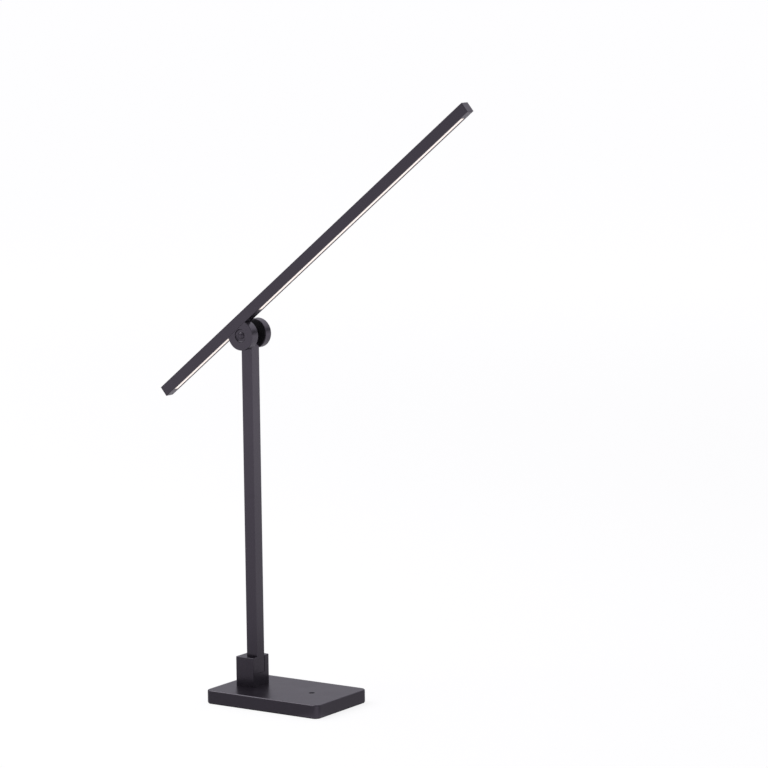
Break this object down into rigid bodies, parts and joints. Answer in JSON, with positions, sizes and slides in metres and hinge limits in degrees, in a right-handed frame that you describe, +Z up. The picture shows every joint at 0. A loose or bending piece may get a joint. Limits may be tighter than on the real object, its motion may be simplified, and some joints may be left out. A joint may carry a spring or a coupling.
{
  "type": "folding desk lamp",
  "caption": "Folding desk lamp: a weighted rectangular base, a square post that folds down, and a slim square light bar that tilts between two round hinge discs.",
  "frame": {"origin": "centre of the flat face that the base rests on", "axes": "+Z up; +X along the long side of the base, towards which the post folds; the light bar is carried on the -Y side of the post"},
  "size_m": [0.4078, 0.0974, 0.671],
  "materials": {
    "charcoal_paint": "fine satin paint, charcoal grey",
    "charcoal_steel": "fine satin paint, charcoal grey",
    "black_plastic": "matt black",
    "plain_steel": "zinc plated",
    "cast_iron": "as cast",
    "soft_pad": "matt",
    "green_board": "solder resist",
    "white_board": "white solder resist",
    "led_yellow": "phosphor",
    "opal_diffuser": "opal, lit from inside",
    "lead_jacket": "matt",
    "bronze": "plain"
  },
  "bodies": {
    "base": {"base_housing": "charcoal_paint", "base_weight": "cast_iron", "bottom_cover": "plain_steel", "bottom_cover_screws": "plain_steel", "base_pad": "soft_pad", "touch_button": "black_plastic", "touch_electrode": "soft_pad", "touch_board": "green_board", "driver_board": "green_board", "power_inlet": "black_plastic", "base_leads": "lead_jacket", "hinge_block": "charcoal_paint", "hinge_block_screws": "plain_steel", "fold_bolt": "plain_steel", "fold_friction_washers": "bronze", "fold_disc_spring": "plain_steel", "fold_bolt_cap": "black_plastic"},
    "post": {"post_tube": "charcoal_paint", "foot_knuckle": "charcoal_paint", "head_knuckle": "charcoal_paint", "post_grub_screws": "plain_steel", "post_lead": "lead_jacket"},
    "light_bar": {"bar_channel": "charcoal_paint", "bar_lug": "charcoal_paint", "lug_screws": "plain_steel", "end_cap_upper": "charcoal_paint", "end_cap_lower": "charcoal_paint", "led_board_long": "white_board", "led_board_short": "white_board", "leds_long": "led_yellow", "leds_short": "led_yellow", "diffuser_long": "opal_diffuser", "diffuser_short": "opal_diffuser", "bar_lead": "lead_jacket", "tilt_bolt": "charcoal_steel", "tilt_pad_front": "black_plastic", "tilt_pad_rear": "black_plastic", "rear_disc": "charcoal_paint", "tilt_disc_springs": "plain_steel", "tilt_lock_nut": "plain_steel", "rear_pivot_cap": "black_plastic"}
  },
  "joints": [
    {"name": "post_fold", "type": "hinge", "parent": "base", "child": "post", "pos_m": [-0.041, 0, 0.0373], "axis": [0, 1, 0], "range_deg": [0, 90]},
    {"name": "bar_tilt", "type": "hinge", "parent": "post", "child": "light_bar", "pos_m": [-0.041, 0, 0.4093], "axis": [0, 1, 0], "range_deg": [-50.8, 119.2]}
  ]
}
